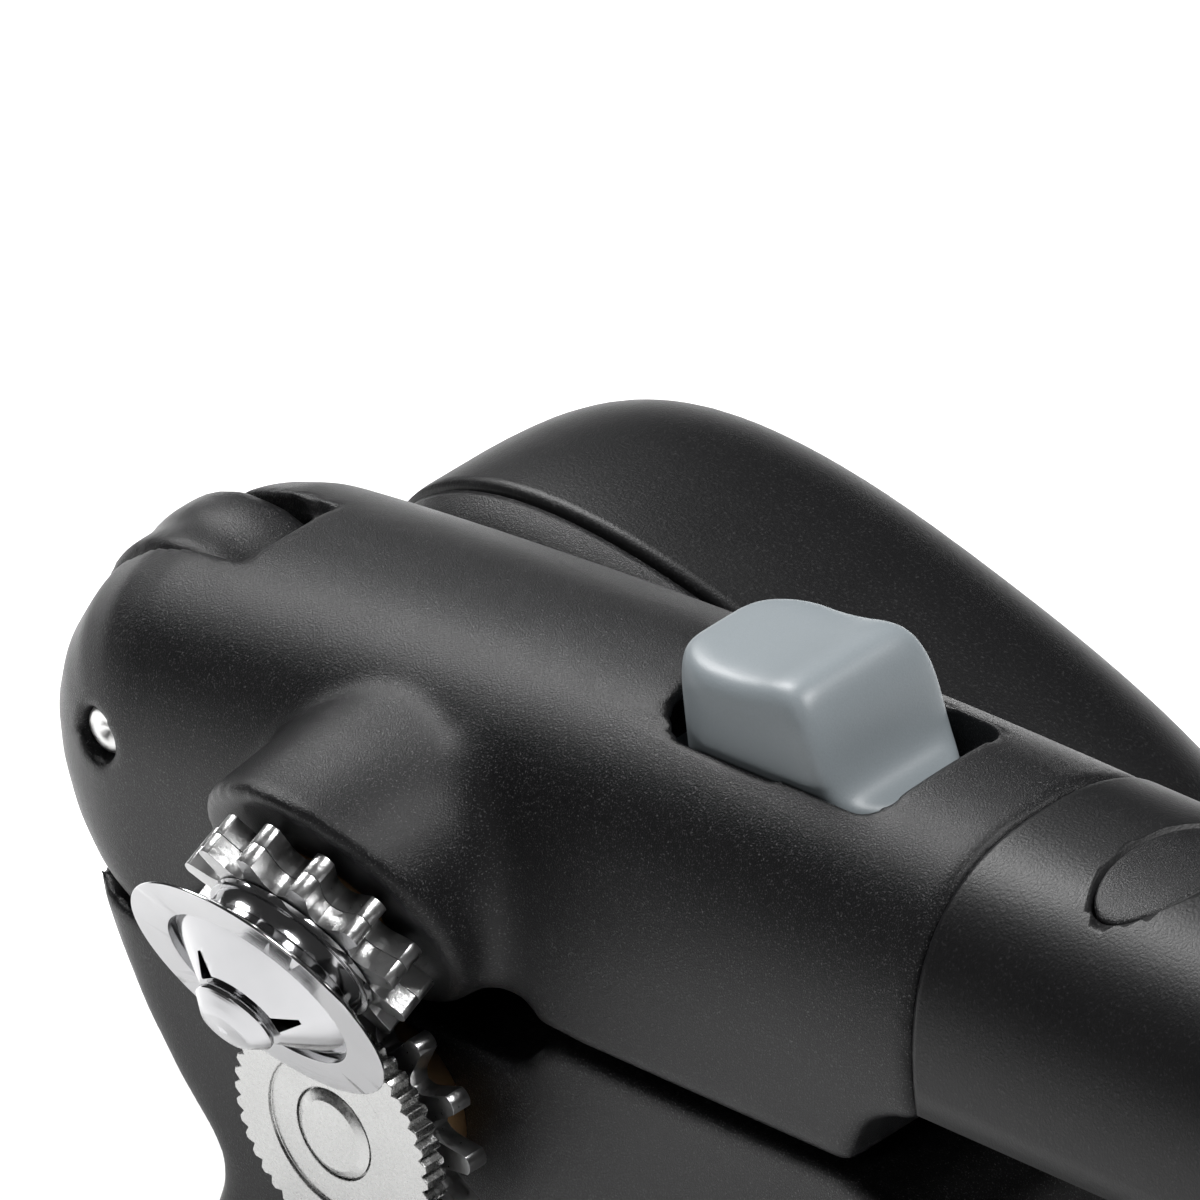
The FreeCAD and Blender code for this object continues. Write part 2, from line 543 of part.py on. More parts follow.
def upper_housing():
    """Upper moulding: nose with two cheeks, cutter boss, button slot, hollow inside, core of the grip."""
    body = new_body("upper_housing")
    side = new_sketch(body, "XZ_Plane")
    outline(side, [
        ("pin_x - lobe_radius * sin(lobe_start)", "pin_z - lobe_radius * cos(lobe_start)", "lobe_radius"),
        ("pin_x + lobe_radius * sin(lobe_end)", "pin_z - lobe_radius * cos(lobe_end)"),
        ("-gear_bay", "seam_upper"), ("heel_x", "seam_upper", "-heel_radius"),
        ("housing_end", "grip_bottom + 0.2"), ("housing_end", "crest_rear_z", "crest_radius"),
        ("crest_front_x", "crest_front_z", "brow_radius"), ("nose_x", "nose_z", "nose_radius")])
    pad(body, side, "half_width * 2", SideType="Symmetric")
    fillet(body, "crest_fillet", lambda edge, middle: side_edges(edge, middle)
           and middle.x < number("housing_end") - 0.1 and (middle.z > 20 or middle.x < number("nose_x")))
    hollow = new_sketch(body, "XZ_Plane")
    outline(hollow, [
        ("cavity_front", "0"), ("cavity_rear - 8", "0"), ("cavity_rear", "grip_bottom + 4"),
        ("cavity_rear", "ceiling_z"), ("8", "ceiling_z"), ("cavity_front", "ceiling_z - 6")])
    pocket(body, hollow, "half_width * 2 - wall * 2", SideType="Symmetric")
    boss = new_sketch(body, "YZ_Plane", turn="90 - tilt")
    shift_y = "(cutter_y - middle_y)"
    bind(boss, "AttachmentOffset.Base.x", shift_y)
    bind(boss, "AttachmentOffset.Base.y", "cutter_z")
    outline(boss, [("0", "boss_start"), ("boss_rim", "boss_start"), ("boss_mid", "boss_start + 4"),
                   ("boss_mid", "boss_end"), ("0", "boss_end")])
    revolve(body, boss)
    seat = new_sketch(body, "YZ_Plane", turn="90 - tilt")
    bind(seat, "AttachmentOffset.Base.x", shift_y)
    bind(seat, "AttachmentOffset.Base.y", "cutter_z")
    outline(seat, [("0", "boss_start - 1"), ("bush_outer", "boss_start - 1"), ("bush_outer", "boss_end + 1"),
                   ("0", "boss_end + 1")])
    groove(body, seat)
    behind = new_sketch(body, "XY_Plane")
    across_cutter(behind, "boss_end")
    outline(behind, [
        ("-cutter_plate_half - 0.3", "-cutter_room"), ("cutter_plate_half + 0.3", "-cutter_room"),
        ("cutter_plate_half + 0.3", "cutter_room"), ("-cutter_plate_half - 0.3", "cutter_room")])
    pocket(body, behind, "7", Reversed=True)
    pilots = new_sketch(body, "XY_Plane")
    across_cutter(pilots, "boss_end")
    for side in ("-cutter_screw", "cutter_screw"):
        circle(pilots, side, "0", "screw_radius")
    pocket(body, pilots, "screw_long")
    core = new_sketch(body, "XZ_Plane")
    outline(core, [("cavity_rear + 1", "grip_bottom + grip_wall"), ("core_end", "grip_bottom + grip_wall"),
                   ("core_end", "crest_rear_z - grip_wall"), ("cavity_rear + 1", "crest_rear_z - grip_wall")])
    pad(body, core, "core_half * 2", SideType="Symmetric")
    trough = new_sketch(body, "XZ_Plane")
    outline(trough, [("housing_end + 2", "grip_bottom"), ("core_end - core_wall", "grip_bottom"),
                     ("core_end - core_wall", "crest_rear_z - grip_wall - core_wall"),
                     ("housing_end + 2", "crest_rear_z - grip_wall - core_wall")])
    pocket(body, trough, "core_half * 2 - core_wall * 2", SideType="Symmetric")
    clevis = new_sketch(body, "XZ_Plane")
    outline(clevis, [("nose_x - 2", "0"), ("slot_end", "0"), ("slot_end", "45"), ("nose_x - 2", "45")])
    pocket(body, clevis, "slot_half * 2", SideType="Symmetric")
    hinge = new_sketch(body, "XZ_Plane")
    circle(hinge, "pin_x", "pin_z", "pin_radius")
    pocket(body, hinge, "half_width * 2 + 1", SideType="Symmetric")
    slot = new_sketch(body, "XY_Plane", rise="25")
    rounded_box(slot, "button_slot_x - button_slot_long / 2", "button_slot_x + button_slot_long / 2",
                "(button_slot_wide / 2)", "slot_corner")
    pocket(body, slot, "20", Reversed=True)
    place_on_middle(body)


def soft_grip(label, low, high, start, badge):
    """Soft sleeve over a handle core, closed at its end.  The one with a badge also has the hang hole."""
    body = new_body(label)
    section = new_sketch(body, "YZ_Plane", rise=start)
    corner = "grip_corner"
    outline(section, [
        ("-half_width", "%s + %s" % (low, corner), corner), ("-half_width + %s" % corner, low),
        ("half_width - %s" % corner, low, corner), ("half_width", "%s + %s" % (low, corner)),
        ("half_width", "%s - %s" % (high, corner), corner), ("half_width - %s" % corner, high),
        ("-half_width + %s" % corner, high, corner), ("-half_width", "%s - %s" % (high, corner))])
    pad(body, section, "handle_end - %s" % start)
    end = number("handle_end")
    fillet(body, "grip_end_fillet", lambda edge, middle: middle.x > end - 0.01)
    inside = new_sketch(body, "YZ_Plane", rise=start)
    outline(inside, [("-core_half", "%s + grip_wall" % low), ("core_half", "%s + grip_wall" % low),
                     ("core_half", "%s - grip_wall" % high), ("-core_half", "%s - grip_wall" % high)])
    pocket(body, inside, "core_end - %s" % start, Reversed=True)
    if badge:
        hole = new_sketch(body, "XY_Plane", rise=low)
        circle(hole, "hang_x", "0", "hang_hole")
        pocket(body, hole, "40", Reversed=True)
        seat = new_sketch(body, "XY_Plane", rise=high + " - badge_thick")
        badge_outline(seat, "badge_gap")
        pocket(body, seat, "badge_thick + 2", Reversed=True)
    place_on_middle(body)


def badge_outline(sketch, gap):
    """Oval of the badge, drawn as two straight sides and two round ends, its long way across the grip."""
    half = "(badge_long / 2 - badge_wide / 2)"
    side = "(badge_wide / 2 + %s)" % gap
    outline(sketch, [
        ("badge_x + " + side, "-" + half), ("badge_x + " + side, half, side + " + 0.001"),
        ("badge_x - " + side, half), ("badge_x - " + side, "-" + half, side + " + 0.001")])


def grip_badge():
    """Plain oval badge plate set flush in the grip's crown."""
    body = new_body("grip_badge")
    sketch = new_sketch(body, "XY_Plane")
    badge_outline(sketch, "0")
    pad(body, sketch, "badge_thick")
    place(body, y="middle_y", z="crest_rear_z - badge_thick")


def hinge_pin():
    """Steel pin pressed through both cheeks; the lower handle's ear turns on it."""
    body = new_body("hinge_pin")
    sketch = new_sketch(body, "XY_Plane")
    circle(sketch, "0", "0", "pin_radius")
    pad(body, sketch, "pin_half * 2", SideType="Symmetric")
    fillet(body, "0.3", lambda edge, middle: abs(middle.z) > 1 and len(edge.Vertexes) == 1)
    place(body, "90", "pin_x", "middle_y", "pin_z")


# ---------------------------------------------------------------- lower handle

def lower_housing():
    """Lower moulding: hinge ear, shaft bosses, hollow closed by a base cover, core of the grip."""
    body = new_body("lower_housing")
    side = new_sketch(body, "XZ_Plane")
    outline(side, [
        ("lip_x", "lip_z"), ("throat_x", "throat_z"), ("notch_x", "notch_z", "-6"),
        ("chin_x", "chin_z", "chin_radius"), ("base_front", "base_z"), ("lower_grip_start", "base_z"),
        ("lower_grip_start", "lower_grip_top", "-14"), ("lower_heel_x", "lower_heel_z", "9"),
        ("heel_x", "seam_lower"), ("gear_bay + 1.5", "seam_lower"), ("gear_bay", "shelf_z"),
        ("-gear_bay - 1", "shelf_z"),
        ("pin_x + crescent_radius * sin(50)", "pin_z - crescent_radius * cos(50)", "-crescent_radius")])
    pad(body, side, "half_width * 2", SideType="Symmetric")
    ear = new_sketch(body, "XZ_Plane")
    circle(ear, "pin_x", "pin_z", "ear_radius")
    pad(body, ear, "ear_half * 2", SideType="Symmetric")
    neck = new_sketch(body, "XZ_Plane")
    outline(neck, [
        ("throat_x", "throat_z + 3"), ("-18", "throat_z + 3"), ("pin_x + ear_radius - 0.1", "pin_z"),
        ("pin_x - ear_radius + 1", "pin_z - 2"), ("lip_x + 0.4", "lip_z - 0.4")])
    pad(body, neck, "ear_half * 2", SideType="Symmetric")
    hollow = new_sketch(body, "XZ_Plane")
    outline(hollow, [("base_front + 2", "base_z - 1"), ("heel_x", "base_z - 1"), ("heel_x", "2"),
                     ("heel_x - 3", "5"), ("base_front + 2", "5")])
    pocket(body, hollow, "half_width * 2 - wall * 2", SideType="Symmetric")
    for low, deep in (("-half_width", "near_boss_end - (middle_y - half_width)"),
                      ("far_boss_start - middle_y", "middle_y + half_width - far_boss_start")):
        boss = new_sketch(body, "XZ_Plane", rise="-(%s)" % low)
        circle(boss, "0", "0", "drive_boss")
        pad(body, boss, deep, Reversed=True)
    posts = new_sketch(body, "XY_Plane", rise="base_z + cover_thick")
    for x in ("base_screw_front", "base_screw_rear"):
        circle(posts, x, "base_screw_side" if x != "base_screw_rear" else "0", "3")
    pad(body, posts, "5 - base_z - cover_thick")
    pilot = new_sketch(body, "XY_Plane", rise="base_z + cover_thick - 1")
    for x in ("base_screw_front", "base_screw_rear"):
        circle(pilot, x, "base_screw_side" if x != "base_screw_rear" else "0", "screw_radius")
    pocket(body, pilot, "11", Reversed=True)
    bore = new_sketch(body, "XZ_Plane")
    circle(bore, "0", "0", "drive_bush_outer")
    pocket(body, bore, "half_width * 2 + 1", SideType="Symmetric")
    hinge = new_sketch(body, "XZ_Plane")
    circle(hinge, "pin_x", "pin_z", "pin_radius + pin_play")
    pocket(body, hinge, "ear_half * 2 + 1", SideType="Symmetric")
    slit = new_sketch(body, "XY_Plane", rise="4")
    outline(slit, [("catch_x", "-catch_half"), ("catch_x + catch_thick", "-catch_half"),
                   ("catch_x + catch_thick", "catch_half"), ("catch_x", "catch_half")])
    pocket(body, slit, "8", Reversed=True)
    core = new_sketch(body, "XZ_Plane")
    outline(core, [
        ("lower_grip_start - 3", "base_z + grip_wall"), ("core_end", "base_z + grip_wall"),
        ("core_end", "lower_grip_top - grip_wall"), ("lower_grip_start - 3", "lower_grip_top - grip_wall")])
    pad(body, core, "core_half * 2", SideType="Symmetric")
    trough = new_sketch(body, "XZ_Plane")
    outline(trough, [("lower_grip_start + 2", "base_z + grip_wall + core_wall"),
                     ("core_end - core_wall", "base_z + grip_wall + core_wall"),
                     ("core_end - core_wall", "lower_grip_top"), ("lower_grip_start + 2", "lower_grip_top")])
    pocket(body, trough, "core_half * 2 - core_wall * 2", SideType="Symmetric")
    place_on_middle(body)


def base_cover():
    """Cover that closes the lower housing from below, with countersunk holes for its screws."""
    body = new_body("base_cover")
    sketch = new_sketch(body, "XY_Plane")
    gap = "0.15"
    half = "half_width - wall - " + gap
    outline(sketch, [("base_front + 2 + " + gap, "-(%s)" % half), ("heel_x - " + gap, "-(%s)" % half),
                     ("heel_x - " + gap, half), ("base_front + 2 + " + gap, half)])
    circle(sketch, "base_screw_front", "base_screw_side", "screw_radius")
    circle(sketch, "base_screw_rear", "0", "screw_radius")
    pad(body, sketch, "cover_thick")
    sunk = new_sketch(body, "XY_Plane")
    circle(sunk, "base_screw_front", "base_screw_side", "screw_head + 0.15")
    circle(sunk, "base_screw_rear", "0", "screw_head + 0.15")
    pocket(body, sunk, "screw_head_thick + 0.2", Reversed=True)
    place(body, y="middle_y", z="base_z")


def latch_catch():
    """Steel catch that stands up from the lower housing, with a lip for the latch hook."""
    body = new_body("latch_catch")
    side = new_sketch(body, "XZ_Plane")
    outline(side, [("catch_x - 5", "3.4"), ("catch_x + catch_thick", "3.4"),
                   ("catch_x + catch_thick", "catch_top - 2.2"),
                   ("catch_x + catch_thick + catch_lip", "catch_top - 2.2"),
                   ("catch_x + catch_thick + catch_lip", "catch_top - 1"),
                   ("catch_x + catch_thick", "catch_top"), ("catch_x", "catch_top"),
                   ("catch_x", "5"), ("catch_x - 5", "5")])
    pad(body, side, "catch_half * 2", SideType="Symmetric")
    place_on_middle(body)


# ---------------------------------------------------------------- release button

def release_button():
    """Thumb button: skirt in the slot, top dished between its front and a raised ridge at the rear."""
    body = new_body("release_button")
    front = "button_slot_x - button_slot_long / 2 + button_front_gap"
    rear = front + " + button_long"
    plan = new_sketch(body, "XY_Plane", rise="slider_top")
    rounded_box(plan, front, rear, "(button_wide / 2)", "button_corner")
    pad(body, plan, "button_top - slider_top")
    above = new_sketch(body, "XZ_Plane")
    outline(above, [
        (front + " - 1", "button_front_z"), (front + " + 6", "button_dish_z", "5"),
        (rear + " - 5", "button_top - 0.3"), (rear + " - 3.2", "button_top - 0.3"),
        (rear + " + 1", "button_rear_z"), (rear + " + 1", "button_top + 2"),
        (front + " - 1", "button_top + 2")])
    pocket(body, above, "button_wide + 1", SideType="Symmetric")
    place_on_middle(body)


def latch_slider():
    """Steel-stiff slider under the slot, with the hook that reaches down behind the catch."""
    body = new_body("latch_slider")
    side = new_sketch(body, "XZ_Plane")
    start = "button_slot_x - button_slot_long / 2 - 1"
    hook = "catch_x + catch_thick + catch_lip + hook_gap"
    under = "slider_top - slider_thick"
    outline(side, [
        (start, under), (hook + " + 1.2", under), (hook + " + 1.2", "catch_top - 3.2"),
        (hook, "catch_top - 3.2"), (hook, "catch_top - 4.4"), (hook + " + 3", "catch_top - 4.4"),
        (hook + " + 3", under), (start + " + slider_long", under), (start + " + slider_long", "slider_top"),
        (start, "slider_top")])
    pad(body, side, "slider_half * 2", SideType="Symmetric")
    place_on_middle(body)


def coil(label, radius, wire_radius, length, turns):
    """Round-wire compression spring along its own Z axis."""
    body = new_body(label)
    wire = new_sketch(body, "XZ_Plane")
    circle(wire, radius, "0", wire_radius)
    made = body.newObject("PartDesign::AdditiveHelix", label + "_coil")
    made.Profile = wire
    made.ReferenceAxis = (wire, ["V_Axis"])
    made.Mode = "height-turns-angle"
    bind(made, "Height", length)
    bind(made, "Turns", turns)
    doc.recompute()
    return body


def button_spring():
    """Return spring between the slider's rear edge and the end wall of the housing."""
    slider_end = "(button_slot_x - button_slot_long / 2 - 1 + slider_long)"
    body = coil("button_spring", "spring_coil", "spring_wire",
                "cavity_rear - %s - spring_wire * 2 - 0.3" % slider_end, "spring_turns")
    body.Placement = FreeCAD.Placement(FreeCAD.Vector(), FreeCAD.Rotation(FreeCAD.Vector(0, 1, 0), 90))
    bind(body, "Placement.Base.x", "drive_x + %s + spring_wire + 0.15" % slider_end)
    bind(body, "Placement.Base.y", "drive_y + middle_y")
    bind(body, "Placement.Base.z", "drive_z + slider_top - slider_thick / 2 - 1.6")


def opening_spring():
    """Spring between the two housings that throws the handles apart when the latch lets go."""
    body = coil("opening_spring", "opening_coil", "opening_wire",
                "opening_top - shelf_z - opening_wire * 2 - 0.1", "opening_turns")
    place(body, x="opening_x", y="opening_y", z="shelf_z + opening_wire + 0.05")


# ---------------------------------------------------------------- screws

def screws(label, spots, set_spot):
    """Identical pan-head screws as separate solids of one node, heads down and shanks up their own Z axis."""
    group = []
    for i, spot in enumerate(spots):
        head = doc.addObject("Part::Cylinder", "%s_head_%d" % (label, i))
        bind(head, "Radius", "screw_head")
        bind(head, "Height", "screw_head_thick")
        shank = doc.addObject("Part::Cylinder", "%s_shank_%d" % (label, i))
        bind(shank, "Radius", "screw_radius - 0.02")
        bind(shank, "Height", "screw_head_thick + screw_long")
        whole = doc.addObject("Part::Fuse", "%s_%d" % (label, i))
        whole.Base = head
        whole.Tool = shank
        set_spot(whole, spot)
        group.append(whole)
    doc.recompute()
    made = doc.addObject("Part::Compound", label)
    made.Label = label
    made.Links = group
    PIECES.append(made)


def base_screws():
    """Screws of the base cover, their heads sunk in its underside."""
    screws("base_screws",
           [("base_screw_front", "middle_y + base_screw_side"), ("base_screw_rear", "middle_y")],
           lambda screw, spot: place(screw, x=spot[0], y=spot[1], z="base_z + 0.2"))


def cutter_screws():
    """Screws that hold the steel plate on the rear of the cutter boss."""
    def behind_plate(screw, side):
        back = "(boss_end + 1.5 + screw_head_thick)"
        flip = FreeCAD.Rotation(FreeCAD.Vector(1, 0, 0), number("90 + tilt"))
        screw.Placement = FreeCAD.Placement(FreeCAD.Vector(), flip)
        bind(screw, "Placement.Rotation.Angle", "90 + tilt")
        bind(screw, "Placement.Base.x", "drive_x + " + side)
        bind(screw, "Placement.Base.y", "drive_y + cutter_y + %s * cos(tilt)" % back)
        bind(screw, "Placement.Base.z", "drive_z + cutter_z + %s * sin(tilt)" % back)

    screws("cutter_screws", ["-cutter_screw", "cutter_screw"], behind_plate)


cutter_wheel()
star_spring()
cutter_shaft()
cutter_gears()
cutter_fixings()
feed_wheel()
drive_gear()
drive_shaft()
drive_fixings()
knob_core()
knob_shell()
knob_fixings()
upper_housing()
soft_grip("upper_grip", "grip_bottom", "crest_rear_z", "housing_end + 0.1", True)
hinge_pin()
lower_housing()
soft_grip("lower_grip", "base_z", "lower_grip_top", "lower_grip_start + 0.1", False)
base_cover()
latch_catch()
release_button()
latch_slider()
button_spring()
opening_spring()
grip_badge()
base_screws()
cutter_screws()

doc.recompute()
failed = [thing.Name for thing in doc.Objects if "Invalid" in thing.State or "Error" in thing.State]
if failed:
    raise RuntimeError("failed: " + ", ".join(failed))
os.makedirs("parts", exist_ok=True)
for piece in PIECES:
    shape = piece.Shape
    if shape.isNull() or not shape.isValid() or shape.Volume < 0.1:
        raise RuntimeError("bad shape: " + piece.Label)
for piece in PIECES:
    piece.Shape.exportStep("parts/%s.step" % piece.Label)
    print("%-20s %9.1f mm3  %d solids" % (piece.Label, piece.Shape.Volume, len(piece.Shape.Solids)))
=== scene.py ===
import json
import math

import bmesh
import bpy
from mathutils import Matrix, Vector


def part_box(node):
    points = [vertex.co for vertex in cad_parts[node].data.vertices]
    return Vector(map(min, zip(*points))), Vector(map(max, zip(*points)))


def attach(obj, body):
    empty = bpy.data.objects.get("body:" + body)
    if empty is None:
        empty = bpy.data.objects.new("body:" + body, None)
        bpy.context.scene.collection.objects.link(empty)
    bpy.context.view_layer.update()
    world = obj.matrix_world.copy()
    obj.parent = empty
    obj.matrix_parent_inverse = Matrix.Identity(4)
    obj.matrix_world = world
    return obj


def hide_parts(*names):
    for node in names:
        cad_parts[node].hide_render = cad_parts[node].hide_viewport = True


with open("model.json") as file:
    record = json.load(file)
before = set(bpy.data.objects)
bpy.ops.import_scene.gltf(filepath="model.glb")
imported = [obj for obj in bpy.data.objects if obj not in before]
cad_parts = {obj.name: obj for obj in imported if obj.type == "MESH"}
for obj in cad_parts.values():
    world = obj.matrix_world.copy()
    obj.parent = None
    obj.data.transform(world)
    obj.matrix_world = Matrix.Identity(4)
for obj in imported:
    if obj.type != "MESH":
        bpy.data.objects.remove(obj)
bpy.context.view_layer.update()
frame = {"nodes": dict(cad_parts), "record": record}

scene = bpy.context.scene


# --- Camera ---
# A long lens on the head of the opener, looking down at the cutting side from in front of the nose.  The
# aim is set from the drive axis, which every other place in the script is measured from as well.
AZIMUTH, ELEVATION, ROLL = math.radians(47.93), math.radians(31.0), math.radians(-6.43)
toward = Vector((math.sin(AZIMUTH) * math.cos(ELEVATION), -math.cos(AZIMUTH) * math.cos(ELEVATION),
                 math.sin(ELEVATION)))
level = Vector((math.cos(AZIMUTH), math.sin(AZIMUTH), 0))
right = level * math.cos(ROLL) + toward.cross(level) * math.sin(ROLL)
wheel_low, wheel_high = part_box("feed_wheel")
drive_axis = Vector(((wheel_low.x + wheel_high.x) / 2, wheel_low.y, (wheel_low.z + wheel_high.z) / 2))
aim = drive_axis + Vector((0.0019, 0.0287, 0.0297))
CAMERA_DISTANCE = 1.746

camera = bpy.data.objects.new("camera", bpy.data.cameras.new("camera"))
scene.collection.objects.link(camera)
camera.data.lens = 759.6
camera.data.sensor_width = 36
camera.data.clip_end = 20
pose = Matrix((right, toward.cross(right), toward)).transposed().to_4x4()
pose.translation = aim + toward * CAMERA_DISTANCE
camera.matrix_world = pose
scene.camera = camera
scene.view_settings.view_transform = "Standard"


# --- Studio ---
# A white table that runs on behind, one soft box over the handles and one over the nose, and a weak fill
# from the cutting side.
def soft_box(name, place, size, power):
    """An area light at a place from the aim, turned to face it."""
    light = bpy.data.lights.new(name, "AREA")
    light.shape = "RECTANGLE"
    light.size, light.size_y = size
    light.energy = power
    lamp = bpy.data.objects.new(name, light)
    scene.collection.objects.link(lamp)
    lamp.location = aim + Vector(place)
    lamp.rotation_euler = (-Vector(place)).to_track_quat("-Z", "Y").to_euler()


soft_box("right_box", (0.42, 0.2, 0.8), (0.3, 0.3), 11.0)
soft_box("left_box", (-0.6, 0.15, 0.65), (0.25, 0.3), 9.5)
soft_box("front_fill", (0.1, -0.9, 0.5), (0.3, 0.3), 1.2)

world = bpy.data.worlds.new("studio")
scene.world = world
world.use_nodes = True
world.node_tree.nodes["Background"].inputs["Color"].default_value = (1.0, 1.0, 1.0, 1.0)
world.node_tree.nodes["Background"].inputs["Strength"].default_value = 0.06


def new_object(name, bm):
    """A smooth-shaded mesh object made from a bmesh that is given in metres in the row frame."""
    mesh = bpy.data.meshes.new(name)
    for face in bm.faces:
        face.smooth = True
    bm.to_mesh(mesh)
    bm.free()
    made = bpy.data.objects.new(name, mesh)
    scene.collection.objects.link(made)
    return made


table_mesh = bmesh.new()
bmesh.ops.create_grid(table_mesh, x_segments=4, y_segments=4, size=6.0)
table = new_object("table", table_mesh)
paper = bpy.data.materials.new("white_paper")
paper.use_nodes = True
paper_skin = paper.node_tree.nodes["Principled BSDF"]
paper_skin.inputs["Base Color"].default_value = (0.93, 0.93, 0.93, 1)
paper_skin.inputs["Roughness"].default_value = 0.8
paper_skin.inputs["Emission Color"].default_value = (1, 1, 1, 1)
paper_skin.inputs["Emission Strength"].default_value = 0.15
table.data.materials.append(paper)


# --- Upper housing ---
# One black nylon moulding with a spark-eroded skin: a rounded nose with two hinge cheeks, a flared boss
# that carries the tilted cutter axle, and a slot for the release button.
MM = 0.001


def at(x, y, z):
    """A place in metres, from millimetres back, across and up from the front of the drive axis."""
    return drive_axis + Vector((x, y, z)) * MM


def round_stretch(x, z, radius, start, end, steps):
    """Points along an arc in a side view, with angles in degrees from +X towards +Z."""
    turns = [math.radians(start + (end - start) * i / steps) for i in range(steps + 1)]
    return [(x + radius * math.cos(turn), z + radius * math.sin(turn)) for turn in turns]


def lofted(points, stations, shape):
    """A closed solid: an outline carried over stations, each point placed by shape(point, station)."""
    bm = bmesh.new()
    ring = [bm.verts.new(shape(point, stations[0])) for point in points]
    edges = [bm.edges.new((ring[i], ring[(i + 1) % len(ring)])) for i in range(len(ring))]
    bmesh.ops.contextual_create(bm, geom=edges)
    for station in stations[1:]:
        grown = bmesh.ops.extrude_edge_only(bm, edges=edges)["geom"]
        fresh = [part for part in grown if isinstance(part, bmesh.types.BMVert)]
        edges = [part for part in grown if isinstance(part, bmesh.types.BMEdge)]
        for vert, point in zip(fresh, points):
            vert.co = shape(point, station)
    bmesh.ops.contextual_create(bm, geom=edges)
    bmesh.ops.recalc_face_normals(bm, faces=bm.faces)
    return bm


MIDDLE, HALF = 21.7, 14.8     # the handles' middle plane across, and half their width
PLUMP = 2.5                   # how square the rounded sections are: 2 is an ellipse


def across(steps, squareness=PLUMP):
    """Sideways share and fullness of a rounded section, evenly round its curve."""
    turns = [math.pi * i / steps for i in range(steps + 1)]
    return [(-math.copysign(abs(math.cos(turn)) ** (2 / squareness), math.cos(turn)),
             max(math.sin(turn), 0.0) ** (2 / squareness)) for turn in turns]


def rounded_nose(shoulder_x, shoulder_z):
    """Pulls an outline in towards its shoulder as it comes near the sides."""
    def shape(point, station):
        x, z = point
        side, full = station
        x = x if x > shoulder_x else shoulder_x + (x - shoulder_x) * full
        z = z if z < shoulder_z else shoulder_z + (z - shoulder_z) * full
        return at(x, MIDDLE + HALF * side, z)
    return shape


def merged(objects, name):
    """One mesh object from several, which are removed."""
    bm = bmesh.new()
    for part in objects:
        bm.from_mesh(part.data)
        bpy.data.objects.remove(part)
    return new_object(name, bm)


def applied(piece):
    """The piece with its modifiers made part of its mesh."""
    view = bpy.context.evaluated_depsgraph_get()
    baked = bpy.data.meshes.new_from_object(piece.evaluated_get(view))
    piece.modifiers.clear()
    piece.data = baked
    return piece


def skinned(piece, cell):
    """The piece remade as one even skin round everything that it encloses."""
    skin = piece.modifiers.new("skin", "REMESH")
    skin.mode = "VOXEL"
    skin.voxel_size = cell * MM
    return applied(piece)


def cut_away(piece, cutter):
    """The piece with the cutter's solid taken out of it.  The cutter is removed."""
    cut = piece.modifiers.new("cut", "BOOLEAN")
    cut.operation = "DIFFERENCE"
    cut.solver = "EXACT"
    cut.object = cutter
    applied(piece)
    bpy.data.objects.remove(cutter)
    return piece


def eased(piece, times, inside=None):
    """Evens the surface out, all over or where inside(place) is true."""
    bm = bmesh.new()
    bm.from_mesh(piece.data)
    verts = [vert for vert in bm.verts if inside is None or inside(vert.co)]
    for _ in range(times):
        bmesh.ops.smooth_vert(bm, verts=verts, factor=0.5, use_axis_x=True, use_axis_y=True, use_axis_z=True)
    for face in bm.faces:
        face.smooth = True
    bm.to_mesh(piece.data)
    bm.free()
    return piece


ROUND = 96                    # sides of a full circle


def drum(place, direction, start, end, radius):
    """A round solid along a direction from a place, in millimetres."""
    bm = bmesh.new()
    bmesh.ops.create_cone(bm, cap_ends=True, segments=ROUND, radius1=radius * MM, radius2=radius * MM,
                          depth=(end - start) * MM)
    turn = Vector(direction).to_track_quat("Z", "Y").to_matrix().to_4x4()
    middle = place + Vector(direction) * (start + end) / 2 * MM
    bmesh.ops.transform(bm, matrix=Matrix.Translation(middle) @ turn, verts=bm.verts)
    return new_object("drum", bm)


def block(low, high, corner=0.0):
    """A box between two places in millimetres, with its upright edges rounded."""
    bm = bmesh.new()
    bmesh.ops.create_cube(bm, size=1.0)
    size = [high[i] - low[i] for i in range(3)]
    middle = at(*[(high[i] + low[i]) / 2 for i in range(3)])
    bmesh.ops.scale(bm, vec=Vector(size) * MM, verts=bm.verts)
    bmesh.ops.translate(bm, vec=middle, verts=bm.verts)
    if corner:
        upright = [e for e in bm.edges if abs((e.verts[0].co - e.verts[1].co).normalized().z) > 0.9]
        bmesh.ops.bevel(bm, geom=upright, offset=corner * MM, segments=8, affect="EDGES", profile=0.5,
                        material=-1)
    return new_object("block", bm)


def bay(start, end, half, floor, top, corner=0.0):
    """A block across the middle plane, from start to end along the handle and from floor to top."""
    return block((start, MIDDLE - half, floor), (end, MIDDLE + half, top), corner)


PIN_X, PIN_Z = -28.0, 18.5
SEAM, THROAT = 10.6, 11.8     # the lower edge behind the step over the can's rim, and in front of it
CREST_START, CREST_FRONT, CREST_REAR, CREST_BOW = -22.0, 30.6, 34.6, 5.4
HOUSING_END, GRIP_FLAT = 51.5, 16.8
CREST = []
for i in range(15):
    share = i / 14
    CREST.append((CREST_START + (HOUSING_END - CREST_START) * share,
                  CREST_FRONT + (CREST_REAR - CREST_FRONT) * share + CREST_BOW * share * (1 - share)))
TILT = math.radians(24.5)
cutter_axis = Vector((0, math.cos(TILT), math.sin(TILT)))
cutter_place = at(0, -5.08, 14.6)

